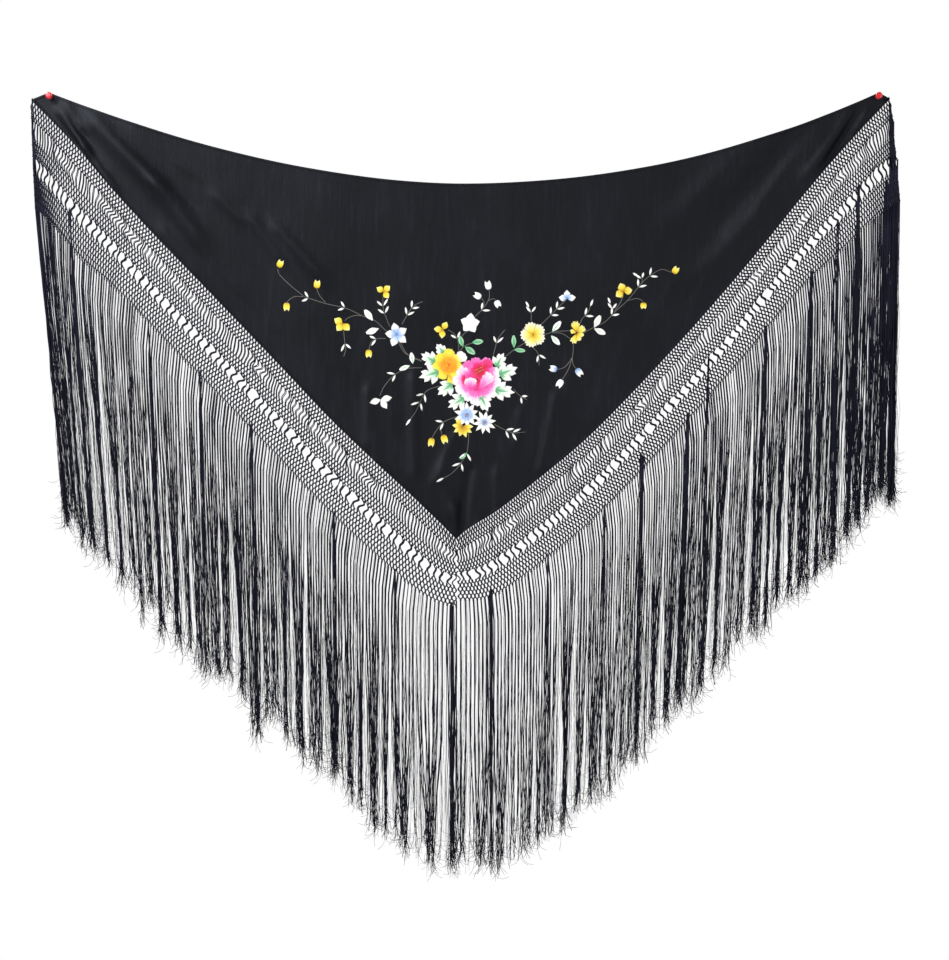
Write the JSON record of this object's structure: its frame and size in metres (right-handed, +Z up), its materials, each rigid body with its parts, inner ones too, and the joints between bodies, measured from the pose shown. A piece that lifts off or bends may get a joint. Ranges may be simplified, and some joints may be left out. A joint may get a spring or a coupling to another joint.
{
  "type": "fringed triangular flamenco shawl on two push pins",
  "caption": "Triangular shawl with a sagging upper edge, a knotted net along both short sides and a long fringe, held on a wall by two push pins.",
  "frame": {"origin": "where the left push pin's needle enters the wall, on the wall's face", "axes": "+X from the left pin towards the right pin, +Y into the wall, +Z up; the embroidered face looks along -Y"},
  "size_m": [1.522, 0.0369, 1.3736],
  "materials": {
    "cloth": "black crepe with a soft bluish sheen",
    "net_thread": "knotted black silk-like thread, faint lustre",
    "fringe_thread": "loose black silk-like strands, faint lustre",
    "embroidery": "glossy satin stitch in white, yellow, pink and green floss",
    "pin_head": "glossy red",
    "pin_needle": "plain bright steel"
  },
  "bodies": {
    "root": {"cloth_panel": "cloth", "net_left": "net_thread", "net_right": "net_thread", "fringe_left_1": "fringe_thread", "fringe_left_2": "fringe_thread", "fringe_left_3": "fringe_thread", "fringe_left_4": "fringe_thread", "fringe_left_5": "fringe_thread", "fringe_left_6": "fringe_thread", "fringe_right_1": "fringe_thread", "fringe_right_2": "fringe_thread", "fringe_right_3": "fringe_thread", "fringe_right_4": "fringe_thread", "fringe_right_5": "fringe_thread", "fringe_right_6": "fringe_thread", "pin_left": "pin_head", "pin_right": "pin_head"}
  },
  "joints": []
}
